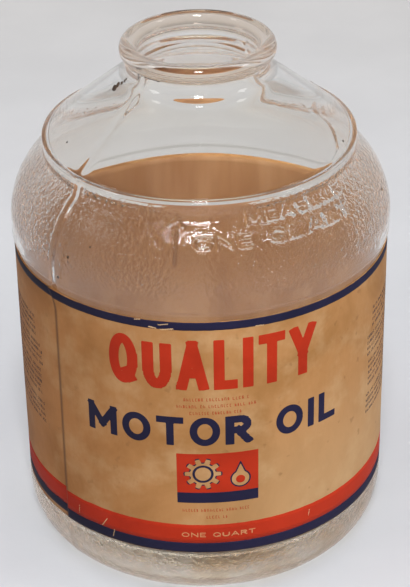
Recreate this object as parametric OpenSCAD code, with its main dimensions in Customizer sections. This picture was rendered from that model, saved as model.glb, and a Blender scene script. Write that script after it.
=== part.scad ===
// One-quart glass oil bottle with a wrap-round paper label.
// Millimetres, +Z up. The origin is the centre of the foot, on the surface that the bottle stands on.
// The label's overlap is on the front left. The front of the bottle faces -Y.

/* [Body] */
// Diameter of the straight panel that the label is stuck to
panel_d = 106.5; // [100:0.5:112]
// How far the heel stands proud of the label panel
heel_proud = 0.3; // [0.2:0.1:0.6]
// How far the shoulder stands proud of the label panel
shoulder_proud = 0.75; // [0.4:0.05:1.2]
// Width of the heel's curve, measured inwards
heel_w = 11.6; // [9:0.1:14]
// Height of the heel's curve
heel_h = 15.2; // [12:0.1:17]
// Squareness of the heel's curve, where 2 is an ellipse
heel_power = 2.3; // [2:0.1:2.6]
// Height of the panel's lower edge
panel_z = 17.2; // [17.1:0.1:17.6]
// Height of the panel's upper edge
panel_top_z = 97; // [96:0.5:99]

/* [Shoulder and dome] */
// Radius of the shoulder's curve
shoulder_bend = 24.2; // [23:0.1:26]
// Diameter of the raised ring at the top of the shoulder
ring_d = 88; // [87:0.5:91]
// Height of the ring's top edge
ring_z = 125.8; // [125:0.1:128]
// Height of the ring's upright face
ring_h = 3.2; // [1.5:0.1:3.5]
// Radius of the blend between the shoulder and the ring
ring_blend = 4; // [2:0.5:4.5]
// Width of the ledge between the ring and the dome
ledge_w = 0.8; // [0.6:0.1:1.5]
// Slope of the dome, in degrees from level
dome_slope = 38.9; // [36:0.1:42]

/* [Neck and lip] */
// Outside diameter of the neck
neck_d = 38.3; // [37:0.1:40]
// Radius of the blend between the dome and the neck
neck_blend = 5.3; // [4:0.1:7]
// Outside diameter of the rolled lip
lip_d = 43.3; // [42:0.1:46]
// Height of the rolled lip
lip_h = 5.3; // [4.5:0.1:7]
// Diameter of the mouth's bore
mouth_d = 33.7; // [32:0.1:35]
// Radius of the inside's blend between the dome and the bore
inner_blend = 8; // [4:0.5:9]

/* [Glass] */
// Thickness of the wall, up to the bottom of the dome
wall_t = 2.4; // [2.2:0.1:3.5]
// Slope of the dome's inside, in degrees from level. Below the outside's slope, the glass thickens towards the neck
inner_slope = 35.3; // [33:0.1:40]
// Thickness of the floor
floor_t = 5; // [4:0.1:7]
// Rise of the push-up under the middle of the base
pushup_h = 3.5; // [2:0.1:5]
// Width of the flat ring that the bottle stands on
foot_w = 3.5; // [2:0.1:5]

/* [Label] */
// Height of the label's lower edge
label_z = 18; // [17.7:0.1:18.5]
// Height of the label, from edge to edge
label_h = 76.7; // [70:0.1:77]
// Thickness of the dried glue film
glue_t = 0.1; // [0.05:0.01:0.15]
// Thickness of the paper
paper_t = 0.15; // [0.1:0.01:0.2]
// Length of the label's overlap
overlap_w = 8; // [4:0.5:15]
// Direction of the overlap's outer edge, in degrees from +X
overlap_dir = 221.7; // [180:0.1:270]
// How far the glue film stays back from the label's edges
glue_inset = 0.8; // [0.3:0.1:2]

/* [Hidden] */
panel_r = panel_d / 2;
heel_r = panel_r + heel_proud;
shoulder_r = panel_r + shoulder_proud;
foot_r = heel_r - heel_w;
pushup_r = foot_r - foot_w;
ring_r = ring_d / 2;
dome_r = ring_r - ledge_w;
neck_r = neck_d / 2;
lip_r = lip_d / 2;
mouth_r = mouth_d / 2;
glue_r = panel_r + glue_t;
paper_r = glue_r + paper_t;

// How far the sheet's end is let into the layer under it, so that the two are one solid
lap_bite = 0.05;
// Small easing at the edges of the panel, the ring and the ledge
ease = 0.5;
// Steps in each curve of the outline
steps = 10;
// Facets round the bottle where a preview needs them
round_fn = 180;

// The dome's straight slope, carried on to the neck, and the blend that eases it in
blend_half = (90 - dome_slope) / 2;
cone_end_z = ring_z + (dome_r - neck_r) * tan(dome_slope);
blend_len = neck_blend * tan(blend_half);
neck_top_z = cone_end_z + blend_len;
lip_mid_z = neck_top_z + lip_h / 2;
lip_half_w = (lip_r - mouth_r) / 2;

// The inside of the ring's face, and where the dome's inside meets it, one wall thickness in
inner_ring_r = ring_r - wall_t;
inner_ring_z = ring_z - wall_t / cos(dome_slope) + (dome_r - inner_ring_r) * tan(dome_slope);
inner_cone_end_z = inner_ring_z + (inner_ring_r - mouth_r) * tan(inner_slope);
inner_blend_len = inner_blend * tan((90 - inner_slope) / 2);

// The shoulder's arc, and its angle where the blend to the ring takes over
shoulder_mid_r = shoulder_r - shoulder_bend;
shoulder_end = acos((ring_r + ring_blend - shoulder_mid_r) / (shoulder_bend + ring_blend));
shoulder_z = ring_z - ring_h - (shoulder_bend + ring_blend) * sin(shoulder_end);

// A curve round a centre, from one angle to another. Power 2 is an ellipse, and more is squarer.
function bend(mid_r, mid_z, half_w, half_h, from, to, power = 2) =
    [for (i = [0 : steps])
        let (a = from + (to - from) * i / steps)
        [mid_r + half_w * sign(cos(a)) * pow(abs(cos(a)), 2 / power),
         mid_z + half_h * sign(sin(a)) * pow(abs(sin(a)), 2 / power)]];

// A curve without its first point, where the one before it ends there
function tail(points) = [for (i = [1 : len(points) - 1]) points[i]];

// A shallow dome over the middle of the base, from the axis out to its rim
function crown(rim_r, rim_z, rise, from_rim) =
    [for (i = [0 : steps - 1])
        let (s = from_rim ? 1 - i / steps : i / steps)
        [rim_r * s, rim_z + rise * (1 - s * s)]];

function outer_base() = concat(
    crown(pushup_r, 0, pushup_h, false),
    [[pushup_r, 0]],
    bend(foot_r, heel_h, heel_w, heel_h, -90, 0, heel_power));

function outer_panel() = [
    [heel_r, panel_z - ease],
    [panel_r, panel_z],
    [panel_r, panel_top_z],
    [shoulder_r, panel_top_z + ease]];

function outer_shoulder() = concat(
    bend(shoulder_mid_r, shoulder_z, shoulder_bend, shoulder_bend, 0, shoulder_end),
    tail(bend(ring_r + ring_blend, ring_z - ring_h, ring_blend, ring_blend, 180 + shoulder_end, 180)),
    [[ring_r, ring_z - ease], [ring_r - ease / 2, ring_z]]);

function outer_dome() = concat(
    [[dome_r, ring_z]],
    bend(neck_r + neck_blend, neck_top_z, neck_blend, neck_blend, 270 - dome_slope, 180));

// From under the lip, over its top and down to the bore
function lip() = bend(mouth_r + lip_half_w, lip_mid_z, lip_half_w, lip_h / 2, -80, 180);

function inner_neck() = bend(mouth_r + inner_blend, inner_cone_end_z + inner_blend_len,
    inner_blend, inner_blend, 180, 270 - inner_slope);

function inner_shoulder() = concat(
    [[inner_ring_r, inner_ring_z]],
    bend(ring_r + ring_blend, ring_z - ring_h, ring_blend + wall_t, ring_blend + wall_t,
        180, 180 + shoulder_end),
    tail(bend(shoulder_mid_r, shoulder_z, shoulder_bend - wall_t, shoulder_bend - wall_t,
        shoulder_end, 0)));

function inner_base() = concat(
    bend(foot_r, heel_h + floor_t / 2, heel_w - wall_t, heel_h - floor_t / 2, 0, -90, heel_power),
    crown(pushup_r, floor_t, pushup_h, true),
    [[0, floor_t + pushup_h]]);

module glass_bottle() {
    color("lightcyan", 0.45)
        rotate_extrude($fn = round_fn)
            polygon(concat(outer_base(), outer_panel(), outer_shoulder(), outer_dome(), lip(),
                inner_neck(), inner_shoulder(), inner_base()));
}

// A thin band round the bottle, in one turn or part of one
module band(inside_r, thickness, low_z, height, turn = 360) {
    rotate_extrude(angle = turn, $fn = round_fn)
        translate([inside_r, low_z])
            square([thickness, height]);
}

module label_adhesive() {
    color("peru")
        band(panel_r, glue_t, label_z + glue_inset, label_h - 2 * glue_inset);
}

// One sheet: it goes once round, and its end lies on top of its beginning
module paper_label() {
    color("burlywood") {
        band(glue_r, paper_t, label_z, label_h);
        rotate([0, 0, overlap_dir])
            band(paper_r - lap_bite, paper_t + lap_bite, label_z, label_h, overlap_w / paper_r * 180 / PI);
    }
}

glass_bottle();
label_adhesive();
paper_label();
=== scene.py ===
"""A squat one-quart glass oil bottle with an aged, wrap-round paper label, on a pale cloth."""
import math

import bpy
import numpy as np
from mathutils import Matrix, Vector, noise


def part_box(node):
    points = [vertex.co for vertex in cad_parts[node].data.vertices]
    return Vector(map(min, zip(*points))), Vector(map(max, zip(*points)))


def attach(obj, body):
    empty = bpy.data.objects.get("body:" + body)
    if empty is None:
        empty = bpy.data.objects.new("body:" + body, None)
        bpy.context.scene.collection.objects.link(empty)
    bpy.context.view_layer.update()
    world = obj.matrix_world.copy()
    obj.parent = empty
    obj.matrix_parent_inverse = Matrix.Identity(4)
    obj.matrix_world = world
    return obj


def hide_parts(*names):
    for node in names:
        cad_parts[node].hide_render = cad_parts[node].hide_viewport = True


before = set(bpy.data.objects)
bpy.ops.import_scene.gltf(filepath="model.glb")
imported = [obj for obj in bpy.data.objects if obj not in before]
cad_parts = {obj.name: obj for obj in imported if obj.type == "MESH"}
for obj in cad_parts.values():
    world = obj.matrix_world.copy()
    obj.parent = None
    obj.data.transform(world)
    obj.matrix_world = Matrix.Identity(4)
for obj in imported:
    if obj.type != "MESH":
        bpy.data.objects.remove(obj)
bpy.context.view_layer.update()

MM = 0.001

# Places taken from the frame, in metres
GLASS_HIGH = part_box("glass_bottle")[1]
PAPER_LOW, PAPER_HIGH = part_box("paper_label")
GLUE_LOW, GLUE_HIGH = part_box("label_adhesive")
SHOULDER_R = GLASS_HIGH.y
GLUE_R = GLUE_HIGH.y
GLUE_T = 0.1 * MM
PANEL_R = GLUE_R - GLUE_T
PAPER_T = 0.15 * MM
PAPER_R = GLUE_R + PAPER_T
LABEL_Z = PAPER_LOW.z
LABEL_TOP = PAPER_HIGH.z

# The middle of the label's front, and the outer edge of its overlap, in radians from +X
FRONT = math.radians(-86.7)
SEAM = math.radians(-138.3)
# The overlap's edge strays back by this many radians at its top, from this height up
STRAY = 0.055
CURL_LOW = 88.0
# Heights in millimetres between which the glass's finest grain fades in, and out again
GRAIN_IN = (100.5, 105.5)
GRAIN_OUT = (123.5, 122.2)
# Heights in millimetres between which the heel's residue and the lip's painted tan fade in. The tan stands
# in for the label's brown seen through the lip.
RESIDUE_IN = (17.5, 15.5)
LIP_PAINTED_TAN_IN = (146.8, 148.2)


# ---------------------------------------------------------------- colours and node helpers

def srgb(code, alpha=1.0):
    """A linear colour from a web code such as C8A070."""
    parts = [int(code[i:i + 2], 16) / 255 for i in (0, 2, 4)]
    return tuple(p / 12.92 if p <= 0.04045 else ((p + 0.055) / 1.055) ** 2.4 for p in parts) + (alpha,)


class Nodes:
    """Short names for the nodes of one material."""

    def __init__(self, name):
        self.material = bpy.data.materials.new(name)
        self.material.use_nodes = True
        self.tree = self.material.node_tree
        self.tree.nodes.clear()
        self.out = self.tree.nodes.new("ShaderNodeOutputMaterial")
        self.shader = self.tree.nodes.new("ShaderNodeBsdfPrincipled")
        self.link(self.shader.outputs[0], self.out.inputs["Surface"])
        self.coords = self.tree.nodes.new("ShaderNodeTexCoord").outputs["Object"]

    def link(self, source, target):
        self.tree.links.new(source, target)

    def set(self, **values):
        for name, value in values.items():
            self.shader.inputs[name.replace("_", " ")].default_value = value

    def mapped(self, scale):
        node = self.tree.nodes.new("ShaderNodeMapping")
        node.inputs["Scale"].default_value = scale
        self.link(self.coords, node.inputs["Vector"])
        return node.outputs[0]

    def noise(self, scale, detail=4.0, rough=0.55, stretch=(1, 1, 1), distort=0.0):
        node = self.tree.nodes.new("ShaderNodeTexNoise")
        node.inputs["Scale"].default_value = scale
        node.inputs["Detail"].default_value = detail
        node.inputs["Roughness"].default_value = rough
        node.inputs["Distortion"].default_value = distort
        self.link(self.mapped(stretch), node.inputs["Vector"])
        return node.outputs["Fac"]

    def ramp(self, source, low, high, smooth=False):
        """0 below low, 1 above high. Low may be the larger, which turns it round."""
        node = self.tree.nodes.new("ShaderNodeMapRange")
        node.interpolation_type = "SMOOTHSTEP" if smooth else "LINEAR"
        node.inputs["From Min"].default_value = low
        node.inputs["From Max"].default_value = high
        self.link(source, node.inputs["Value"])
        return node.outputs[0]

    def faded(self, heights):
        """A smooth ramp along Z between two heights in millimetres."""
        return self.ramp(self.along("Z"), heights[0] * MM, heights[1] * MM, True)

    def math(self, kind, a, b=0):
        node = self.tree.nodes.new("ShaderNodeMath")
        node.operation = kind
        for socket, value in zip(node.inputs, (a, b)):
            if isinstance(value, (int, float)):
                socket.default_value = value
            else:
                self.link(value, socket)
        return node.outputs[0]

    def mix(self, factor, a, b, kind="MIX"):
        node = self.tree.nodes.new("ShaderNodeMix")
        node.data_type = "RGBA"
        node.blend_type = kind
        for name, value in (("Factor", factor), ("A", a), ("B", b)):
            kind_of = "VALUE" if name == "Factor" else "RGBA"
            socket = next(s for s in node.inputs if s.name == name and s.type == kind_of)
            if isinstance(value, (int, float, tuple)):
                socket.default_value = value
            else:
                self.link(value, socket)
        return next(s for s in node.outputs if s.type == "RGBA")

    def bump(self, height, distance, strength=1.0):
        node = self.tree.nodes.new("ShaderNodeBump")
        node.inputs["Strength"].default_value = strength
        node.inputs["Distance"].default_value = distance
        self.link(height, node.inputs["Height"])
        self.link(node.outputs[0], self.shader.inputs["Normal"])

    def pass_lamps(self, colour):
        """The lamps' light goes straight through, in this colour, while the camera sees the shader."""
        through = self.tree.nodes.new("ShaderNodeBsdfTransparent")
        through.inputs["Color"].default_value = colour
        ray = self.tree.nodes.new("ShaderNodeLightPath")
        choose = self.tree.nodes.new("ShaderNodeMixShader")
        self.link(ray.outputs["Is Shadow Ray"], choose.inputs["Fac"])
        self.link(self.shader.outputs[0], choose.inputs[1])
        self.link(through.outputs[0], choose.inputs[2])
        self.link(choose.outputs[0], self.out.inputs["Surface"])

    def tinted(self, amount, colour, by):
        """The colour, multiplied by another to the extent that amount says."""
        return self.mix(amount, colour, self.mix(1.0, colour, by + (1,), "MULTIPLY"))

    def along(self, axis):
        node = self.tree.nodes.new("ShaderNodeSeparateXYZ")
        self.link(self.coords, node.inputs[0])
        return node.outputs[axis]


# ---------------------------------------------------------------- materials

def shoulder_mask(n):
    """1 on the outer face of the shoulder where it is stippled, less where it is worn, and 0 elsewhere."""
    x, y, z = (n.along(axis) for axis in "XYZ")
    around = n.math("SQRT", n.math("ADD", n.math("MULTIPLY", x, x), n.math("MULTIPLY", y, y)))
    dr = n.math("SUBTRACT", around, SHOULDER_MID_R * MM)
    dz = n.math("SUBTRACT", z, SHOULDER_Z * MM)
    reach = n.math("SQRT", n.math("ADD", n.math("MULTIPLY", dr, dr), n.math("MULTIPLY", dz, dz)))
    outside = n.ramp(reach, (SHOULDER_BEND - 1.2) * MM, (SHOULDER_BEND - 0.6) * MM)
    aside_x = n.math("MULTIPLY", x, math.sin(SEAM))
    aside_y = n.math("MULTIPLY", y, -math.cos(SEAM))
    aside = n.math("ABSOLUTE", n.math("ADD", aside_x, aside_y))
    off_seam = n.ramp(aside, 1.2 * MM, 2.2 * MM, True)
    front = n.ramp(y, 12 * MM, -12 * MM, True)
    from_middle = n.math("ABSOLUTE", n.math("SUBTRACT", x, 1 * MM))
    off_middle = n.ramp(from_middle, 4 * MM, 16 * MM, True)
    worn = n.math("ADD", n.math("MULTIPLY", front, 0.8), 0.2)
    worn = n.math("MULTIPLY", worn, n.math("ADD", n.math("MULTIPLY", off_middle, 0.75), 0.25))
    band = n.math("MULTIPLY", n.faded(GRAIN_IN), n.faded(GRAIN_OUT))
    return n.math("MULTIPLY", n.math("MULTIPLY", outside, off_seam), n.math("MULTIPLY", worn, band))


def glass_material():
    """Clear glass that lets the lamps through, so that the inside is lit. Old oil clouds the heel."""
    n = Nodes("clear_glass")
    n.set(Base_Color=srgb("FDFDFB"), Roughness=0.0, IOR=1.5, Transmission_Weight=1.0)
    heel = n.faded(RESIDUE_IN)
    cloudy = n.ramp(n.noise(420, 4, 0.65, (1, 1, 0.4)), 0.35, 0.7)
    residue = n.mix(cloudy, srgb("F4E9D6"), srgb("FCF8F1"))
    darkening = n.ramp(n.noise(60, 3, 0.6, (1, 1, 0.7)), 0.5, 0.64, True)
    residue = n.mix(n.math("MULTIPLY", darkening, 0.85), residue, srgb("DDC29C"))
    # Painted tan on the lip, standing in for the label's brown seen through the glass
    clean_and_painted_lip = n.mix(n.faded(LIP_PAINTED_TAN_IN), srgb("FDFCF9"), srgb("F1E4D6"))
    n.link(n.mix(heel, clean_and_painted_lip, residue), n.shader.inputs["Base Color"])
    n.link(n.math("MULTIPLY", heel, 0.12), n.shader.inputs["Roughness"])
    grainy = n.math("MAXIMUM", shoulder_mask(n), n.math("MULTIPLY", heel, 0.5))
    n.bump(n.math("MULTIPLY", n.noise(850, 2, 0.5), grainy), 0.55 * MM)
    n.pass_lamps(srgb("FBFBF8"))
    return n.material


def stains_and_painted_light(n, base, shade, light):
    """The blotches, foxing and fibres that paper and ink share, so that stains run on under the print.
    Painted shade darkens the left side and painted light pales the lower right.
    """
    blotch = n.ramp(n.noise(28, 5, 0.6, distort=0.6), 0.38, 0.68, True)
    patch = n.ramp(n.noise(75, 4, 0.6), 0.45, 0.72, True)
    colour = n.mix(blotch, base, shade)
    colour = n.mix(n.math("MULTIPLY", patch, 0.55), colour, light)
    grain = n.ramp(n.noise(900, 3, 0.7, (1, 1, 0.35)), 0.3, 0.75)
    colour = n.mix(n.math("MULTIPLY", grain, 0.22), colour, shade)
    # Painted shade: the colour darker towards the left, as if lit from the right
    darkening = n.ramp(n.along("X"), 0.012, -0.05, True)
    colour = n.tinted(n.math("MULTIPLY", darkening, 0.9), colour, (0.55, 0.46, 0.38))
    # Painted light: the colour paler towards the lower right
    low = n.ramp(n.along("Z"), 0.075, 0.03, True)
    right = n.ramp(n.along("X"), -0.015, 0.035, True)
    return n.mix(n.math("MULTIPLY", n.math("MULTIPLY", low, right), 0.5), colour, light)


def paper_material():
    n = Nodes("aged_paper")
    colour = stains_and_painted_light(n, srgb("BB8753"), srgb("A1703C"), srgb("CEA87A"))
    # Painted shade: a dark band along the seam where the sheet's end overlaps, following its stray at the
    # top
    around = n.math("ARCTAN2", n.along("Y"), n.along("X"))
    off = n.math("MULTIPLY", n.math("SUBTRACT", around, SEAM), PAPER_R)
    stray = n.math("POWER", n.ramp(n.along("Z"), CURL_LOW * MM, LABEL_TOP), 2)
    off = n.math("ADD", off, n.math("MULTIPLY", stray, STRAY * PAPER_R))
    seam_painted_shade = n.ramp(n.math("ABSOLUTE", off), 1.2 * MM, 0.1 * MM, True)
    colour = n.mix(n.math("MULTIPLY", seam_painted_shade, 0.75), colour, srgb("5A3A20"))
    fox = n.ramp(n.noise(260, 2, 0.5), 0.66, 0.74, True)
    colour = n.mix(n.math("MULTIPLY", fox, 0.35), colour, srgb("7E5730"))
    n.link(colour, n.shader.inputs["Base Color"])
    n.set(Roughness=0.7, Specular_IOR_Level=0.2)
    n.bump(n.noise(700, 4, 0.6, (1, 1, 0.5)), 0.00008, 0.5)
    return n.material


def ink_material(name, code, worn):
    n = Nodes(name)
    dark = tuple(c * 0.75 for c in srgb(code)[:3]) + (1.0,)
    light = tuple(min(1.0, c * 1.15 + 0.004) for c in srgb(code)[:3]) + (1.0,)
    # The ink shares the paper's stains, and its painted shade on the left and painted light on the lower
    # right
    colour = stains_and_painted_light(n, srgb(code), dark, light)
    rubbed = n.ramp(n.noise(420, 5, 0.75), 0.66, 0.8, True)
    colour = n.mix(n.math("MULTIPLY", rubbed, worn), colour, srgb("B98F5C"))
    n.link(colour, n.shader.inputs["Base Color"])
    n.set(Roughness=0.7, Specular_IOR_Level=0.15)
    return n.material


def glue_material():
    n = Nodes("dried_glue")
    blotch = n.ramp(n.noise(30, 4, 0.55, (1, 1, 0.45)), 0.35, 0.7, True)
    colour = n.mix(blotch, srgb("C4925F"), srgb("A67140"))
    streak = n.ramp(n.noise(120, 3, 0.5, (1, 1, 0.12)), 0.4, 0.75, True)
    colour = n.mix(n.math("MULTIPLY", streak, 0.5), colour, srgb("D4A77B"))
    # Painted shade: the glue darker towards the left
    glue_painted_shade = n.ramp(n.along("X"), 0.008, -0.042, True)
    colour = n.tinted(glue_painted_shade, colour, (0.72, 0.66, 0.6))
    n.link(colour, n.shader.inputs["Base Color"])
    n.set(Roughness=0.7)
    return n.material


def dirt_material():
    n = Nodes("old_dirt")
    colour = n.mix(n.noise(900, 3), srgb("2A1E16"), srgb("5A4330"))
    n.link(colour, n.shader.inputs["Base Color"])
    n.set(Roughness=0.9)
    return n.material


def cloth_material():
    n = Nodes("pale_cloth")
    soft = n.ramp(n.noise(14, 4, 0.5), 0.3, 0.7, True)
    colour = n.mix(soft, srgb("D5D6D9"), srgb("DBDCDF"))
    # Painted warm light: the cloth warmer and a little brighter towards the back
    painted_warm_light = n.ramp(n.along("Y"), 0.0, 0.5, True)
    colour = n.tinted(painted_warm_light, colour, (1.06, 1.02, 0.96))
    n.link(colour, n.shader.inputs["Base Color"])
    n.set(Roughness=0.85)
    n.bump(n.noise(60, 5, 0.55), 0.001, 0.25)
    return n.material


# ---------------------------------------------------------------- meshes

def add_mesh(name, points, faces, material, smooth=True):
    mesh = bpy.data.meshes.new(name)
    mesh.from_pydata([tuple(p) for p in points], [], [tuple(f) for f in faces])
    mesh.update()
    piece = bpy.data.objects.new(name, mesh)
    bpy.context.scene.collection.objects.link(piece)
    mesh.materials.append(material)
    mesh.polygons.foreach_set("use_smooth", [smooth] * len(mesh.polygons))
    return piece


def grid_faces(rows, columns, closed):
    """Quads of a grid of points, row by row. Closed joins the last column to the first."""
    faces = []
    last = columns if closed else columns - 1
    for i in range(rows - 1):
        for j in range(last):
            k = (j + 1) % columns
            faces.append((i * columns + j, i * columns + k, (i + 1) * columns + k, (i + 1) * columns + j))
    return faces


# ---------------------------------------------------------------- the bottle's outline

# These repeat the CAD's driving dimensions, in millimetres
HEEL_W = 11.6
HEEL_H = 15.2
HEEL_POWER = 2.3
PANEL_Z = 17.2
PANEL_TOP_Z = 97.0
SHOULDER_BEND = 24.2
RING_R = 44.0
RING_Z = 125.8
RING_H = 3.2
RING_BLEND = 4.0
LEDGE_W = 0.8
DOME_SLOPE = math.radians(38.9)
NECK_R = 19.15
NECK_BLEND = 5.3
LIP_R = 21.65
LIP_H = 5.3
MOUTH_R = 16.85
WALL_T = 2.4
FLOOR_T = 5.0
PUSHUP_H = 3.5
FOOT_W = 3.5
INNER_BLEND = 8.0
INNER_SLOPE = math.radians(35.3)
EASE = 0.5
# These are the mesh's own: the ring's rounded edge, how close a row lies to each corner, and the
# heights between which the inside's corners are rounded, over how long a reach
RING_EASE = 0.4
NEAR_CORNER = 0.4
SOFT_LOW_Z = 90.0
SOFT_HIGH_Z = 141.0
SOFT_REACH = 0.8

PANEL_R_MM = PANEL_R / MM
HEEL_R = PANEL_R_MM + 0.3
FOOT_R = HEEL_R - HEEL_W
PUSHUP_R = FOOT_R - FOOT_W
SHOULDER_R_MM = SHOULDER_R / MM
SHOULDER_MID_R = SHOULDER_R_MM - SHOULDER_BEND
SHOULDER_END = math.acos((RING_R + RING_BLEND - SHOULDER_MID_R) / (SHOULDER_BEND + RING_BLEND))
SHOULDER_Z = RING_Z - RING_H - (SHOULDER_BEND + RING_BLEND) * math.sin(SHOULDER_END)
DOME_R = RING_R - LEDGE_W
BLEND_HALF = (math.pi / 2 - DOME_SLOPE) / 2
CONE_END_Z = RING_Z + (DOME_R - NECK_R) * math.tan(DOME_SLOPE)
NECK_TOP_Z = CONE_END_Z + NECK_BLEND * math.tan(BLEND_HALF)
LIP_MID_Z = NECK_TOP_Z + LIP_H / 2
LIP_HALF_W = (LIP_R - MOUTH_R) / 2


def bend(mid_r, mid_z, half_w, half_h, start, end, power=2.0, steps=24):
    """A curve round a centre, from one angle to another, in degrees. Power 2 is an ellipse."""
    points = []
    for i in range(steps + 1):
        a = math.radians(start + (end - start) * i / steps)
        c, s = math.cos(a), math.sin(a)
        points.append((mid_r + half_w * math.copysign(abs(c) ** (2 / power), c),
                       mid_z + half_h * math.copysign(abs(s) ** (2 / power), s)))
    return points


def crown(rim_r, rim_z, rise, steps=12):
    return [(rim_r * i / steps, rim_z + rise * (1 - (i / steps) ** 2)) for i in range(steps)]


def outer_outline():
    """From the middle of the base, up the outside, over the lip and down to the bore."""
    slope = math.degrees(DOME_SLOPE)
    end = math.degrees(SHOULDER_END)
    points = crown(PUSHUP_R, 0, PUSHUP_H) + [(PUSHUP_R, 0)]
    points += bend(FOOT_R, HEEL_H, HEEL_W, HEEL_H, -90, 0, HEEL_POWER)
    points += [(HEEL_R, PANEL_Z - EASE), (PANEL_R_MM, PANEL_Z)]
    points += [(PANEL_R_MM, PANEL_TOP_Z), (SHOULDER_R_MM, PANEL_TOP_Z + EASE)]
    points += bend(SHOULDER_MID_R, SHOULDER_Z, SHOULDER_BEND, SHOULDER_BEND, 0, end)
    points += bend(RING_R + RING_BLEND, RING_Z - RING_H, RING_BLEND, RING_BLEND, 180 + end, 180)[1:]
    points += bend(RING_R - RING_EASE, RING_Z - RING_EASE, RING_EASE, RING_EASE, 0, 90, steps=6)
    points += [(DOME_R, RING_Z)]
    points += bend(NECK_R + NECK_BLEND, NECK_TOP_Z, NECK_BLEND, NECK_BLEND, 270 - slope, 180, steps=12)
    points += bend(MOUTH_R + LIP_HALF_W, LIP_MID_Z, LIP_HALF_W, LIP_H / 2, -80, 180, steps=36)
    return points


def inner_outline():
    """From the bore down to the middle of the floor. The wall thickens from the ring to the neck."""
    slope = INNER_SLOPE
    end = math.degrees(SHOULDER_END)
    face_r = RING_R - WALL_T
    face_top_z = RING_Z - WALL_T / math.cos(DOME_SLOPE) + (DOME_R - face_r) * math.tan(DOME_SLOPE)
    cone_end = face_top_z + (face_r - MOUTH_R) * math.tan(slope)
    blend_z = cone_end + INNER_BLEND * math.tan((math.pi / 2 - slope) / 2)
    ring_bend = RING_BLEND + WALL_T
    inner_bend = SHOULDER_BEND - WALL_T
    neck_end = 270 - math.degrees(slope)
    points = bend(MOUTH_R + INNER_BLEND, blend_z, INNER_BLEND, INNER_BLEND, 180, neck_end, steps=12)
    points += [(face_r, face_top_z)]
    points += bend(RING_R + RING_BLEND, RING_Z - RING_H, ring_bend, ring_bend, 180, 180 + end, steps=8)
    points += bend(SHOULDER_MID_R, SHOULDER_Z, inner_bend, inner_bend, end, 0, steps=16)[1:]
    points += bend(FOOT_R, HEEL_H + FLOOR_T / 2, HEEL_W - WALL_T, HEEL_H - FLOOR_T / 2, 0, -90, HEEL_POWER)
    points += crown(PUSHUP_R, FLOOR_T, PUSHUP_H)[::-1]
    return soften(points, SOFT_LOW_Z, SOFT_HIGH_Z, SOFT_REACH)


def soften(points, low_z, high_z, reach, step=0.7):
    """The part of an outline between two heights with its corners rounded off, as blown glass has them."""
    flow = np.array(points)
    run = np.concatenate([[0], np.cumsum(np.hypot(*np.diff(flow, axis=0).T))])
    chosen = run[(flow[:, 1] > low_z) & (flow[:, 1] < high_z)]
    start, end = chosen.min(), chosen.max()
    spots = np.linspace(start, end, round((end - start) / step))
    window = np.linspace(-2, 2, 41) * reach
    weight = np.exp(-(window / reach) ** 2)
    weight /= weight.sum()
    soft = []
    for at in spots:
        share = min(1.0, (at - start) / reach / 2, (end - at) / reach / 2)
        near = at + window * share
        soft.append(tuple((np.interp(near, run, flow[:, k]) * weight).sum() for k in (0, 1)))
    before = [p for p, at in zip(points, run) if at < start]
    after = [p for p, at in zip(points, run) if at > end]
    return before + soft + after


def resample(points, step_at):
    """The outline with its long stretches cut to the step asked for, and a point close by each corner."""
    out = [points[0]]
    for (r0, z0), (r1, z1) in zip(points[:-1], points[1:]):
        length = math.hypot(r1 - r0, z1 - z0)
        if length < 1e-6:
            continue
        near = NEAR_CORNER / length
        count = max(1, round(length / step_at((z0 + z1) / 2)))
        shares = [k / count for k in range(1, count)]
        if near < 0.3:
            shares = [near] + [t for t in shares if 1.5 * near < t < 1 - 1.5 * near] + [1 - near]
        out += [(r0 + (r1 - r0) * t, z0 + (z1 - z0) * t) for t in shares + [1]]
    return out


def thin_out(points, least):
    """Drops points that are closer than least to the one before, apart from the last."""
    out = [points[0]]
    for p in points[1:-1]:
        if math.hypot(p[0] - out[-1][0], p[1] - out[-1][1]) >= least:
            out.append(p)
    return out + [points[-1]]


# ---------------------------------------------------------------- drawing with distances

# Every printed or moulded mark is a function of flat points. It says how far outside the mark each
# one is, in millimetres, and less than nothing inside it. FAR is its value where nothing is near.
FAR = 1e3


def bar(x, y, x0, y0, x1, y1, half, extend=0.0):
    """A straight stroke with square ends."""
    length = max(math.hypot(x1 - x0, y1 - y0), 1e-9)
    ux, uy = (x1 - x0) / length, (y1 - y0) / length
    along = (x - x0) * ux + (y - y0) * uy - length / 2
    across = (x - x0) * uy - (y - y0) * ux
    dx = np.abs(along) - length / 2 - extend
    dy = np.abs(across) - half
    return np.hypot(np.maximum(dx, 0), np.maximum(dy, 0)) + np.minimum(np.maximum(dx, dy), 0)


def disc(x, y, x0, y0, radius):
    return np.hypot(x - x0, y - y0) - radius


def rect(x, y, x0, y0, x1, y1):
    dx = np.maximum(x0 - x, x - x1)
    dy = np.maximum(y0 - y, y - y1)
    return np.hypot(np.maximum(dx, 0), np.maximum(dy, 0)) + np.minimum(np.maximum(dx, dy), 0)


def arc(cx, cy, rx, ry, start, end, steps=20):
    return [(cx + rx * math.cos(math.radians(start + (end - start) * i / steps)),
             cy + ry * math.sin(math.radians(start + (end - start) * i / steps))) for i in range(steps + 1)]


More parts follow.
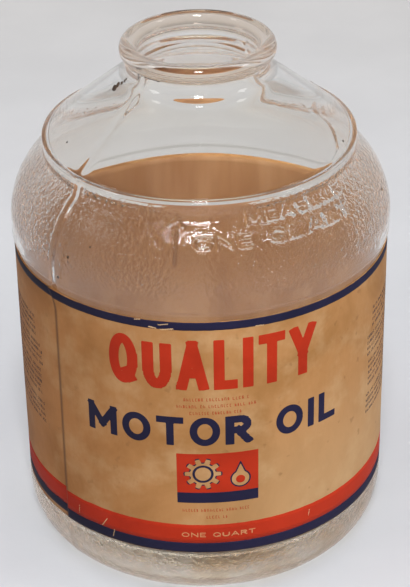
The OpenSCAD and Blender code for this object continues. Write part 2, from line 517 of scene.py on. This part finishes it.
# Plain capitals: width against height, then the strokes' middle lines in a box from 0 to 1
LETTERS = {
    "A": (0.95, [[(0, 0), (0.5, 1), (1, 0)], [(0.2, 0.3), (0.8, 0.3)]]),
    "C": (0.85, [arc(0.55, 0.5, 0.55, 0.5, 50, 310)]),
    "E": (0.66, [[(0, 0), (0, 1)], [(0, 0), (1, 0)], [(0, 0.5), (0.85, 0.5)], [(0, 1), (1, 1)]]),
    "I": (0.0, [[(0, 0), (0, 1)]]),
    "L": (0.6, [[(0, 0), (0, 1)], [(0, 0), (1, 0)]]),
    "M": (1.05, [[(0, 0), (0, 1)], [(0, 1), (0.5, 0.25), (1, 1)], [(1, 1), (1, 0)]]),
    "N": (0.85, [[(0, 0), (0, 1)], [(0, 1), (1, 0)], [(1, 0), (1, 1)]]),
    "O": (0.92, [arc(0.5, 0.5, 0.5, 0.5, 0, 360, 40)]),
    "Q": (0.92, [arc(0.5, 0.5, 0.5, 0.5, 0, 360, 40), [(0.58, 0.3), (1.02, -0.04)]]),
    "R": (0.75, [[(0, 0), (0, 1)], [(0.45, 0.5), (1, 0)],
                 [(0, 1), (0.55, 1)] + arc(0.55, 0.75, 0.4, 0.25, 90, -90, 12) + [(0, 0.5)]]),
    "S": (0.7, [arc(0.5, 0.75, 0.46, 0.25, 30, 250, 16) + arc(0.5, 0.25, 0.5, 0.25, 90, -150, 16)]),
    "T": (0.8, [[(0, 1), (1, 1)], [(0.5, 0), (0.5, 1)]]),
    "U": (0.85, [[(0, 1), (0, 0.42)] + arc(0.5, 0.42, 0.5, 0.42, 180, 360, 20) + [(1, 1)]]),
    "Y": (0.9, [[(0, 1), (0.5, 0.45), (1, 1)], [(0.5, 0.45), (0.5, 0)]]),
}


def word(x, y, text, mid_x, low_y, height, width, stroke):
    """A line of capitals fitted to a width. Each is drawn with one stroke thickness."""
    gap, space = 0.24, 0.55
    natural = [LETTERS[c][0] if c != " " else space for c in text]
    free = width - stroke * sum(c != " " for c in text)
    unit = free / (sum(natural) + gap * (len(text) - 1))
    left = mid_x - width / 2
    half = stroke / 2
    field = np.full(x.shape, FAR)
    for c, share in zip(text, natural):
        if c != " ":
            wide = share * unit
            bottom = low_y - (half if c == "Q" else 0)
            clip = rect(x, y, left - half, bottom, left + wide + 3 * half, low_y + height)
            near = (x > left - stroke * 2) & (x < left + wide + stroke * 3)
            letter = np.full(near.sum(), FAR)
            for line in LETTERS[c][1]:
                spots = [(left + half + px * wide, low_y + half + py * (height - stroke))
                         for px, py in line]
                for k, (a, b) in enumerate(zip(spots[:-1], spots[1:])):
                    ends = line[k], line[k + 1]
                    at_edge = any(q[1] in (0, 1) or q[0] in (0, 1) for q in ends) and len(line) < 5
                    extend = half if at_edge else 0.0
                    letter = np.minimum(letter, bar(x[near], y[near], *a, *b, half, extend))
                for px, py in spots[1:-1]:
                    letter = np.minimum(letter, disc(x[near], y[near], px, py, half))
            field[near] = np.minimum(field[near], np.maximum(letter, clip[near]))
            left += stroke
        left += (share + gap) * unit
    return field


# ---------------------------------------------------------------- the glass

# The stretch round the bottle that the moulded words take, and the heights of the stippled band
LETTER_FROM = math.radians(-104)
LETTER_TO = math.radians(-26)
STIPPLE_LOW = 98.5
STIPPLE_HIGH = 122.5
# The moulded words' middle and the height of the arrow's foot
WORDS_MIDDLE = math.radians(-62)
ARROW_FOOT_Z = 111.3
# The mould seams: half the angle meshed finely for each, its width, and its height on each stretch
SEAM_HALF = math.radians(2.4)
SEAM_W = 1.15
HEEL_SEAM_H = 0.1
SHOULDER_SEAM_H = 0.32
DOME_SEAM_H = 0.1
FINE_DEG = 0.4
WORDS_DEG = 0.45
PLAIN_DEG = 1.0


def glass_angles():
    """Angles round the bottle, closer together where the moulded words and the mould's seams are."""
    back = SEAM + math.pi
    zones = [(SEAM - SEAM_HALF, SEAM + SEAM_HALF, FINE_DEG),
             (SEAM + SEAM_HALF, LETTER_FROM, PLAIN_DEG),
             (LETTER_FROM, LETTER_TO, WORDS_DEG),
             (LETTER_TO, back - SEAM_HALF, PLAIN_DEG),
             (back - SEAM_HALF, back + SEAM_HALF, FINE_DEG),
             (back + SEAM_HALF, SEAM + math.tau - SEAM_HALF, PLAIN_DEG)]
    parts = []
    for start, end, step in zones:
        parts.append(np.linspace(start, end, round(math.degrees(end - start) / step), endpoint=False))
    return np.concatenate(parts)


def outer_step(z):
    """Distance between the mesh's rows on the outside, in millimetres, which is least on the shoulder."""
    return 0.5 if STIPPLE_LOW - 1 < z < STIPPLE_HIGH + 1 else 6.0


def moulded_height(angle, climb, base_climb):
    """Height of the moulded marks, in millimetres. Climb is the way up the outside of the shoulder."""
    x = (angle - WORDS_MIDDLE) * (SHOULDER_R_MM - 5)
    y = climb - base_climb
    soft, tall = 0.3, 0.8
    arrow_x, arrow_h, barb_w, barb_h, arrow_half = -31.0, 12.2, 2.2, 2.6, 0.35
    field = word(x, y, "MEASURE", 6, 9.2, 3.8, 34, 0.7)
    field = np.minimum(field, word(x, y, "ONE QUART", -2, 3.3, 3.8, 48, 0.7))
    field = np.minimum(field, bar(x, y, arrow_x, 0, arrow_x, arrow_h, arrow_half))
    for side in (-barb_w, barb_w):
        barb = bar(x, y, arrow_x, arrow_h, arrow_x + side, arrow_h - barb_h, arrow_half)
        field = np.minimum(field, barb)
    t = np.clip(1 - field / soft, 0, 1)
    return tall * t * t * (3 - 2 * t)


def stippled(angles, r, z, seam):
    """The uneven skin of one row of the shoulder. It is calmer at the front, and smooth on the seams."""
    fade = min(1.0, (z - STIPPLE_LOW) / 3, (STIPPLE_HIGH - z) / 1.5)
    lift = np.zeros(len(angles))
    for j, a in enumerate(angles):
        p = Vector((r * math.cos(a), r * math.sin(a), z))
        calm = 0.35 + 0.65 * min(1.0, abs(a + math.pi / 2) / 0.35)
        rough = 0.05 * noise.noise(p * 0.9) + 0.03 * noise.noise(p * 1.9)
        lift[j] = (1 - seam[j]) * calm * fade * rough
    return lift


def glass_bottle():
    outer = resample(thin_out(outer_outline(), 0.3), outer_step)
    inner = resample(thin_out(inner_outline(), 0.6), lambda _: 9.0)
    outline = np.array(outer + inner)
    radii, heights = outline[:, :1], outline[:, 1:]
    z_of = outline[:, 1]
    angles = glass_angles()
    edges = np.gradient(outline, axis=0)
    normal = np.stack([edges[:, 1], -edges[:, 0]], 1)
    normal /= np.maximum(np.linalg.norm(normal, axis=1), 1e-9)[:, None]
    lengths = np.linalg.norm(np.diff(outline, axis=0), axis=1)
    climb = np.concatenate([[0], np.cumsum(lengths)])
    base_climb = np.interp(ARROW_FOOT_Z, z_of[:len(outer)], climb[:len(outer)])
    is_outer = np.arange(len(outline)) < len(outer)

    seam = 0.0
    for turn in (SEAM, SEAM + math.pi):
        off = (angles - turn + math.pi) % (2 * math.pi) - math.pi
        seam = seam + np.exp(-(off[None, :] * radii / SEAM_W) ** 2)
    above_foot = is_outer & (z_of > 3) & (z_of < NECK_TOP_Z) & (outline[:, 0] > 15)
    on_panel = (z_of > PANEL_Z - 1) & (z_of < PANEL_TOP_Z)
    tall = np.select([z_of < PANEL_Z, z_of < RING_Z], [HEEL_SEAM_H, SHOULDER_SEAM_H], DOME_SEAM_H)
    lift = (tall * (above_foot & ~on_panel))[:, None] * seam

    in_band = is_outer & (z_of > STIPPLE_LOW) & (z_of < STIPPLE_HIGH) & (outline[:, 0] > 40)
    for i in np.where(in_band)[0]:
        lift[i] += stippled(angles, *outline[i], seam[i])
        lift[i] += moulded_height(angles, np.full(len(angles), climb[i]), base_climb)

    r = radii + normal[:, :1] * lift
    z = heights + normal[:, 1:] * lift
    points = np.stack([r * np.cos(angles), r * np.sin(angles), z], 2)[1:-1].reshape(-1, 3) * MM
    count = len(angles)
    faces = grid_faces(len(outline) - 2, count, True)
    under, inside = len(points), len(points) + 1
    points = np.vstack([points, [[0, 0, outline[0, 1] * MM], [0, 0, outline[-1, 1] * MM]]])
    last = under - count
    faces += [(under, (j + 1) % count, j) for j in range(count)]
    faces += [(last + j, last + (j + 1) % count, inside) for j in range(count)]
    return add_mesh("bottle", points, faces, glass_material())


# ---------------------------------------------------------------- the label

PAPER_R_MM = PAPER_R / MM
LOW_EDGE = LABEL_Z / MM
HIGH_EDGE = LABEL_TOP / MM
SHEET_T = PAPER_T / MM
# The overlap's length, as an angle round the bottle
LAP = 8.0 / PAPER_R_MM


def lapped(turn):
    """1 where the sheet's end lies over its beginning, easing to 0 beyond it. Turn is from the seam."""
    return float(np.clip(1 - (turn - LAP) / 0.05, 0, 1))


def paper_radius(turn, z):
    """Radius of the paper's outer face, in millimetres, at a turn from the seam and a height."""
    a = SEAM + turn
    ripple_r = 53
    p = Vector((math.cos(a) * ripple_r, math.sin(a) * ripple_r, z))
    ripple = 0.05 * noise.noise(p * 0.06) + 0.018 * noise.noise(p * 0.22)
    lap = 0.17 * lapped(turn) if turn < math.pi else 0.0
    curl = 0.4 + 0.6 * max(0.0, (z - CURL_LOW) / 7)
    edge = 0.12 * math.exp(-(turn / 0.03) ** 2) * curl
    return PAPER_R_MM + ripple + lap + edge


def seam_shift(turn, z):
    """How far the sheet's outer end strays back past the seam near its top corner, in radians."""
    stray = max(0.0, (z - CURL_LOW) / (HIGH_EDGE - CURL_LOW)) ** 2
    return -STRAY * stray * math.exp(-(turn / 0.06) ** 2)


def nick(turn, side):
    """Depth of the nicks along the sheet's edge, in millimetres. Side tells its two edges apart."""
    return 0.25 * max(0.0, noise.noise(Vector((turn * 40, 7.0, side)))) ** 2


def closed_sheet(size, front, rim):
    """The faces of a sheet with two faces of grid points, of size points each, joined along its rim."""
    faces = front + [tuple(size + k for k in reversed(f)) for f in front]
    for a, b in rim:
        faces.append((b, a, size + a, size + b))
    return faces


def paper_label():
    finely = np.linspace(0, 0.25, 26)[:-1]
    turns = np.concatenate([finely, np.linspace(0.25, 2 * math.pi + LAP, 360)])
    heights = np.linspace(LOW_EDGE, HIGH_EDGE, 48)
    points = []
    for depth in (0.0, -SHEET_T):
        for z in heights:
            for t in turns:
                under = 0.03 if t > 2 * math.pi - 0.02 else 0.0
                r = paper_radius(t, z) + depth - under
                a = SEAM + t + seam_shift(t, z)
                low = nick(t, 0) if z == heights[0] else 0.0
                high = nick(t, 9) if z == heights[-1] else 0.0
                points.append((r * math.cos(a) * MM, r * math.sin(a) * MM, (z + low - high) * MM))
    rows, columns = len(heights), len(turns)
    rim = list(range(columns)) + [i * columns + columns - 1 for i in range(1, rows)]
    rim += [(rows - 1) * columns + j for j in range(columns - 2, -1, -1)]
    rim += [i * columns for i in range(rows - 2, 0, -1)]
    front = grid_faces(rows, columns, False)
    faces = closed_sheet(rows * columns, front, list(zip(rim, rim[1:] + rim[:1])))
    return add_mesh("paper_sheet", points, faces, paper_material())


def glue_film():
    """The film sinks a hair into the glass, as wet glue does, so that no air gap shows behind it."""
    angles = np.linspace(0, 2 * math.pi, 361)[:-1]
    heights = np.linspace(GLUE_LOW.z, GLUE_HIGH.z, 40)
    points = []
    for r in (GLUE_R - 0.02 * MM, PANEL_R - 0.04 * MM):
        for z in heights:
            points += [(r * math.cos(a), r * math.sin(a), z) for a in angles]
    rows, columns = len(heights), len(angles)
    top = (rows - 1) * columns
    rim = []
    for j in range(columns):
        k = (j + 1) % columns
        rim += [(j, k), (top + k, top + j)]
    faces = closed_sheet(rows * columns, grid_faces(rows, columns, True), rim)
    return add_mesh("glue_film", points, faces, glue_material())


# ---------------------------------------------------------------- the printing

# How far the ink stands off the paper in millimetres, and what is printed or scratched over it
INK_T = 0.02
OVERPRINT = 0.035
# The red stripe's edges, and the small print's height and its distance from line to line
RED_LOW = 21.4
RED_HIGH = 27.8
SMALL_H = 1.0
LINE_GAP = 1.9


def on_label(x, z, panel=FRONT, above=INK_T):
    """A point on the printed face. X is the way round from the middle of a panel, in millimetres."""
    a = panel + x / PAPER_R_MM
    turn = (a - SEAM) % (2 * math.pi)
    r = paper_radius(turn, z) + above
    return (r * math.cos(a) * MM, r * math.sin(a) * MM, z * MM)


def inked(piece):
    """The printed face made a film that reaches down into the paper."""
    film = piece.modifiers.new("film", "SOLIDIFY")
    film.thickness = INK_T * 1.5 * MM
    film.offset = -1
    return piece


def print_shape(name, field, x0, x1, z0, z1, material, cell=0.25, panel=FRONT, above=INK_T):
    """A film of ink where the field is below nothing, with its edge cut through the grid's cells."""
    xs = np.arange(x0, x1 + cell, cell)
    zs = np.arange(z0, z1 + cell, cell)
    gx, gz = np.meshgrid(xs, zs)
    inside = field(gx, gz)
    points, index = [], {}

    def vertex(key, x, z):
        if key not in index:
            index[key] = len(points)
            points.append(on_label(x, z, panel, above))
        return index[key]

    faces = []
    for i in range(len(zs) - 1):
        row = inside[i:i + 2]
        for j in np.where((row[:, :-1].min(0) < 0) | (row[:, 1:].min(0) < 0))[0]:
            corners = [(i, j), (i, j + 1), (i + 1, j + 1), (i + 1, j)]
            loop = []
            for a, b in zip(corners, corners[1:] + corners[:1]):
                fa, fb = inside[a], inside[b]
                if fa < 0:
                    loop.append(vertex(a, xs[a[1]], zs[a[0]]))
                if (fa < 0) != (fb < 0):
                    t = min(max(fa / (fa - fb), 0.02), 0.98)
                    x = xs[a[1]] + (xs[b[1]] - xs[a[1]]) * t
                    z = zs[a[0]] + (zs[b[0]] - zs[a[0]]) * t
                    loop.append(vertex((min(a, b), max(a, b)), x, z))
            if len(loop) > 2:
                faces.append(loop)
    return inked(add_mesh(name, points, faces, material))


def stripe(name, low, high, material, drift=0.0):
    """A printed band along the whole sheet. It drifts upwards over the sheet's last part."""
    turns = np.linspace(0.002, 2 * math.pi, 720)
    drift_from = 4.4
    points = []
    rows = 4
    for i in range(rows + 1):
        for t in turns:
            late = max(0.0, (t - drift_from) / (2 * math.pi - drift_from)) ** 1.5
            wobble = 0.06 * noise.noise(Vector((t * 30, low, i // rows * 5.0)))
            z = low + (high - low) * i / rows + late * drift + (wobble if i in (0, rows) else 0)
            r = paper_radius(t, z) + INK_T
            a = SEAM + t + seam_shift(t, z)
            points.append((r * math.cos(a) * MM, r * math.sin(a) * MM, z * MM))
    return inked(add_mesh(name, points, grid_faces(rows + 1, len(turns), False), material))


def emblem_field(x, z):
    """Returns the red and the dark part of the emblem: a cogwheel and an oil drop over a dark band."""
    x, z = x - 0.7, z + 0.6
    frame_box = rect(x, z, -11.6, 36.1, 11.7, 52.8)
    band = rect(x, z, -11.6, 36.1, 11.7, 39.6)
    gx, gz = x + 4.3, z - 46.0
    turn = np.arctan2(gz, gx)
    reach = np.hypot(gx, gz)
    teeth = 4.5 + 0.75 * np.tanh(3.5 * np.cos(turn * 10))
    cog = reach - teeth
    hub = np.abs(reach - 2.6) - 0.35
    dx, dz = x - 6.2, z - 44.2
    drop = np.hypot(dx, dz + 0.4) - 2.7
    neck = np.maximum(np.abs(dx) - (5.2 - dz) * 0.42, -dz)
    drop = np.minimum(drop, np.maximum(neck, dz - 5.2))
    clear = np.minimum(cog, drop)
    red = np.maximum(np.maximum(frame_box, -band), -clear)
    outline = np.abs(drop) - 0.22
    dark = np.minimum(np.minimum(band, np.maximum(hub, frame_box)), np.maximum(outline, frame_box))
    dark = np.minimum(dark, np.maximum(np.abs(cog) - 0.18, frame_box))
    red = np.maximum(red, -dark + 0.01)
    red_drop = np.hypot(dx, dz + 0.6) - 1.3
    return np.minimum(red, red_drop), dark


def small_print(seed, x0, x1, tops, height, material, name, panel=FRONT):
    """Rows of marks the size of letters, in words, as print too small to read."""
    rng = np.random.default_rng(seed)
    marks = []
    for top in tops:
        x = x0
        left_in_word = rng.integers(2, 9)
        while x < x1 - 0.5:
            wide = rng.uniform(0.4, 0.62) * height
            low = top - height
            kind = rng.integers(0, 4)
            stem = 0.2 * height
            marks.append((x, low, x + stem, top))
            if kind in (0, 1):
                marks.append((x, top - stem, x + wide, top))
            if kind in (1, 2):
                marks.append((x, low, x + wide, low + stem))
            if kind in (0, 3):
                marks.append((x + wide - stem, low, x + wide, top - 0.3 * height))
            x += wide + 0.3 * height
            left_in_word -= 1
            if left_in_word == 0:
                left_in_word = rng.integers(2, 9)
                x += 0.6 * height

    def field(gx, gz):
        out = np.full(gx.shape, FAR)
        for a, b, c, d in marks:
            near = (gz > b - 0.3) & (gz < d + 0.3) & (gx > a - 0.3) & (gx < c + 0.3)
            out[near] = np.minimum(out[near], rect(gx[near], gz[near], a, b, c, d))
        return out

    low, high = min(tops) - height, max(tops)
    cell = height / 5.5
    return print_shape(name, field, x0 - 0.3, x1 + 0.3, low - 0.3, high + 0.3, material, cell, panel)


def scuffs():
    """Scratches and chips that show pale paper through the stripes. Each is a few thin lines and flecks."""
    pale = ink_material("scuffed_paper", "D8B48A", 0.1)
    # From one end to the other, round the label and up it, and half the width
    scratches = [(-34.5, 21.6, -32.6, 24.6, 0.16), (-30.9, 19.0, -30.3, 21.6, 0.14),
                 (-43.0, 22.2, -42.8, 25.2, 0.12), (-17.6, 92.6, -15.4, 92.3, 0.22),
                 (-15.0, 93.4, -12.2, 93.9, 0.16), (-14.4, 92.0, -10.8, 92.5, 0.2),
                 (-21.5, 94.2, -19.8, 94.5, 0.2), (11.2, 92.2, 13.6, 92.1, 0.14),
                 (28.0, 24.0, 28.4, 26.0, 0.12)]

    def lines(x, z):
        field = np.full(x.shape, FAR)
        for x0, z0, x1, z1, half in scratches:
            field = np.minimum(field, bar(x, z, x0, z0, x1, z1, half * 0.8))
        ragged = 0.12 * np.sin(x * 9.1 + z * 4.3) * np.sin(z * 11.7 - x * 3.1)
        return field + ragged

    return [print_shape("scuffs_low", lines, -45, 30, 18.8, 26.4, pale, 0.14, above=OVERPRINT),
            print_shape("scuffs_high", lines, -23, 15, 91.5, 94.6, pale, 0.14, above=OVERPRINT)]


def title(x, z):
    return word(x, z, "QUALITY", 0, 73.2, 15.8, 59, 2.95)


def contents(x, z):
    return word(x, z, "MOTOR OIL", 0, 54.9, 9.4, 74.5, 2.1)


def measure(x, z):
    return word(x, z, "ONE QUART", 0.6, 23.5, 1.6, 21, 0.3)


def emblem_red(x, z):
    return emblem_field(x, z)[0]


def emblem_dark(x, z):
    return emblem_field(x, z)[1]


def panel_print(side, panel, red, navy, cream):
    """One of the label's two picture panels. The small rows are a seed, two ends and a top."""
    pieces = [
        print_shape(f"title_{side}", title, -31, 31, 72, 90, red, panel=panel),
        print_shape(f"motor_oil_{side}", contents, -39, 39, 54, 65, navy, panel=panel),
        print_shape(f"emblem_red_{side}", emblem_red, -12, 12, 35.5, 53.2, red, 0.2, panel),
        print_shape(f"emblem_dark_{side}", emblem_dark, -12, 12, 35.5, 53.2, navy, 0.2, panel),
        print_shape(f"measure_{side}", measure, -12, 12, 22.8, 25.6, cream, 0.12, panel, OVERPRINT),
    ]
    faded = ink_material("faded_red_ink", "B4552F", 0.6)
    rows = (("fine_print_1", 3, -8.5, 9.5, 70.6), ("fine_print_2", 4, -10.5, 11.5, 68.4),
            ("fine_print_3", 8, -7, 8, 66.2), ("caption", 5, -9.5, 9.8, 33.4),
            ("caption_low", 6, -2.8, 3.2, 31.0))
    for name, seed, x0, x1, top in rows:
        pieces.append(small_print(seed, x0, x1, [top], SMALL_H, faded, f"{name}_{side}", panel))
    return pieces


def directions(side, panel, material):
    """A column of small print. Each paragraph is its top, its number of lines and half its width."""
    pieces = []
    for k, (start, count, wide) in enumerate(((81, 4, 22), (72.5, 4, 25), (64, 5, 24), (53, 4, 25))):
        rows = [start - LINE_GAP * i for i in range(count)]
        name = f"directions_{side}_{k + 1}"
        pieces.append(small_print(11 + k, -wide, wide, rows, SMALL_H, material, name, panel))
    return pieces


def printing():
    red = ink_material("red_ink", "B92F10", 0.4)
    navy = ink_material("navy_ink", "201D3A", 0.3)
    cream = ink_material("cream_print", "CF8E60", 0.2)
    pieces = [
        stripe("navy_stripe_top", 92.1, HIGH_EDGE - 0.08, navy),
        stripe("red_stripe", RED_LOW, RED_HIGH, red, 1.0),
        stripe("navy_stripe_low", LOW_EDGE + 0.1, RED_LOW, navy, 1.4),
    ]
    for side, panel in (("front", FRONT), ("back", FRONT + math.pi)):
        pieces += panel_print(side, panel, red, navy, cream)
    pieces += scuffs()
    grey = ink_material("faded_navy_ink", "38303C", 0.4)
    pieces += directions("right", FRONT + math.radians(84), grey)
    pieces += directions("left", FRONT - math.radians(88), grey)
    return pieces


# ---------------------------------------------------------------- dirt on the glass

def speck(rng, angle, r, z, size, stretch):
    """A flake of dirt on the outside of the glass, as a flattened, ragged dome."""
    a = math.radians(angle)
    out = Vector((math.cos(a), math.sin(a), 0.6)).normalized()
    side = Vector((-math.sin(a), math.cos(a), 0))
    up = out.cross(side)
    middle = Vector((r * math.cos(a), r * math.sin(a), z))
    points = [middle + out * size * 0.35]
    for reach, rise in ((0.6, 0.25), (1.0, -0.05)):
        for k in range(10):
            t = k * math.tau / 10
            wild = reach * rng.uniform(0.75, 1.2)
            points.append(middle + side * math.cos(t) * size * wild * stretch
                          + up * math.sin(t) * size * wild + out * size * rise)
    points.append(middle - out * size * 0.1)
    faces = [(0, 1 + k, 1 + (k + 1) % 10) for k in range(10)]
    faces += [(1 + k, 11 + k, 11 + (k + 1) % 10, 1 + (k + 1) % 10) for k in range(10)]
    faces += [(21, 11 + (k + 1) % 10, 11 + k) for k in range(10)]
    return points, faces


def dirt():
    rng = np.random.default_rng(4)
    # Each is a direction in degrees, a radius, a height, a size and a stretch
    spots = [(-157.5, 38.9, 129.2, 0.35, 1), (-18.4, 41.4, 127.3, 0.4, 1),
             (-12.3, 51.8, 111.2, 0.5, 1), (-124.7, 51.5, 111.8, 0.3, 1),
             (-131.9, 53.2, 107.3, 0.45, 1), (-135.7, 54.0, 100.1, 0.45, 1),
             (-163.4, 23.9, 141.35, 1.0, 1.2), (-162.6, 22.9, 142.3, 0.9, 0.8),
             (-161.2, 22.0, 143.0, 0.5, 1.5), (-164.5, 22.6, 142.4, 0.5, 1),
             (-160.2, 21.2, 143.6, 0.6, 0.7), (-161.0, 20.6, 144.0, 0.35, 1)]
    crease = [(-154 + 2.1 * k, 19.5 + 0.3 * (k % 2), 147.8, 0.3, 2.6) for k in range(16)]
    spots += crease
    points, faces = [], []
    for angle, r, z, size, stretch in spots:
        new_points, new_faces = speck(rng, angle, r, z, size, stretch)
        faces += [tuple(len(points) + k for k in f) for f in new_faces]
        points += new_points
    return add_mesh("dirt_specks", [p * MM for p in points], faces, dirt_material())


# ---------------------------------------------------------------- the stage

def floor():
    size = 3.0
    steps = 60
    sink = 0.2 * MM
    points = [(-size + 2 * size * i / steps, -size + 2 * size * j / steps, 0)
              for j in range(steps + 1) for i in range(steps + 1)]
    piece = add_mesh("cloth_floor", points, grid_faces(steps + 1, steps + 1, False), cloth_material())
    piece.location.z = -sink


def softbox(name, turn, rise, distance, size, power, colour=(1, 1, 1), mirrored=False):
    """A rectangular light at a turn and a rise in degrees, pointed at the bottle."""
    light = bpy.data.lights.new(name, "AREA")
    light.shape = "RECTANGLE"
    light.size, light.size_y = size
    light.energy = power
    light.color = colour
    lamp = bpy.data.objects.new(name, light)
    bpy.context.scene.collection.objects.link(lamp)
    t, e = math.radians(turn), math.radians(rise)
    away = Vector((math.cos(e) * math.cos(t), math.cos(e) * math.sin(t), math.sin(e)))
    lamp.location = Vector((0, 0, 0.08)) + away * distance
    lamp.rotation_euler = away.to_track_quat("Z", "Y").to_euler()
    lamp.visible_glossy = lamp.visible_transmission = mirrored
    return lamp


def room():
    """A world that is bright round the horizon and darker overhead, for the glass to mirror."""
    world = bpy.data.worlds.new("room")
    bpy.context.scene.world = world
    world.use_nodes = True
    tree = world.node_tree
    towards = tree.nodes.new("ShaderNodeTexCoord").outputs["Generated"]
    where = tree.nodes.new("ShaderNodeSeparateXYZ")
    rise = tree.nodes.new("ShaderNodeMapRange")
    rise.inputs["From Min"].default_value = 0.1
    rise.inputs["From Max"].default_value = 0.65
    shade = tree.nodes.new("ShaderNodeMix")
    shade.data_type = "RGBA"
    first, second = (s for s in shade.inputs if s.name in "AB" and s.type == "RGBA")
    first.default_value = (0.63, 0.635, 0.65, 1)
    second.default_value = (0.3, 0.3, 0.31, 1)
    shaded = next(s for s in shade.outputs if s.type == "RGBA")
    tree.links.new(towards, where.inputs[0])
    tree.links.new(where.outputs["Z"], rise.inputs["Value"])
    tree.links.new(rise.outputs[0], shade.inputs["Factor"])
    tree.links.new(shaded, tree.nodes["Background"].inputs["Color"])


def lighting():
    """One lamp by the camera and two windows show in the glass. The wide fills don't."""
    softbox("camera_light", -89.5, 53, 1.3, (0.2, 0.22), 9, (0.94, 0.96, 1.0), True)
    softbox("left_window", -168, 38, 1.8, (0.4, 0.4), 2.2, mirrored=True)
    softbox("right_window", -12, 38, 1.8, (0.4, 0.4), 2.2, mirrored=True)
    softbox("left_fill", -160, 48, 1.8, (1.6, 1.4), 1)
    softbox("right_key", -35, 52, 1.8, (1.6, 1.4), 3.5)
    softbox("front_fill", -90, 76, 1.8, (1.8, 1.8), 8.5)
    softbox("low_fill", -90, 18, 1.8, (2.4, 0.9), 2)


def camera():
    """The camera looks down at the bottle from the front, tipped a little to one side."""
    rise, roll = math.radians(30.73), math.radians(-0.947)
    target = Vector((0.00087, 0, LABEL_Z + 0.05378))
    distance, lens = 0.5713, 119.38
    back = Vector((0, -math.cos(rise), math.sin(rise)))
    level, up = Vector((1, 0, 0)), Vector((0, math.sin(rise), math.cos(rise)))
    right = level * math.cos(roll) + up * math.sin(roll)
    over = up * math.cos(roll) - level * math.sin(roll)
    data = bpy.data.cameras.new("camera")
    data.lens = lens
    data.sensor_width = 36
    data.clip_start = 0.01
    eye = bpy.data.objects.new("camera", data)
    eye.matrix_world = Matrix((right, over, back)).transposed().to_4x4()
    eye.location = target + back * distance
    bpy.context.scene.collection.objects.link(eye)
    bpy.context.scene.camera = eye


def long_paths():
    """Light crosses many walls of glass before it leaves the bottle, so its paths are let run on."""
    paths = bpy.context.scene.cycles
    paths.max_bounces = 40
    paths.transmission_bounces = 40
    paths.glossy_bounces = 24
    paths.transparent_max_bounces = 24


# ---------------------------------------------------------------- putting it together

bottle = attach(glass_bottle(), "root")
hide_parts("glass_bottle")

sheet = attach(paper_label(), "root")
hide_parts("paper_label")

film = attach(glue_film(), "root")
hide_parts("label_adhesive")

for mark in printing():
    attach(mark, "root")

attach(dirt(), "root")
floor()
room()
lighting()
camera()
bpy.context.scene.view_settings.view_transform = "Standard"
long_paths()
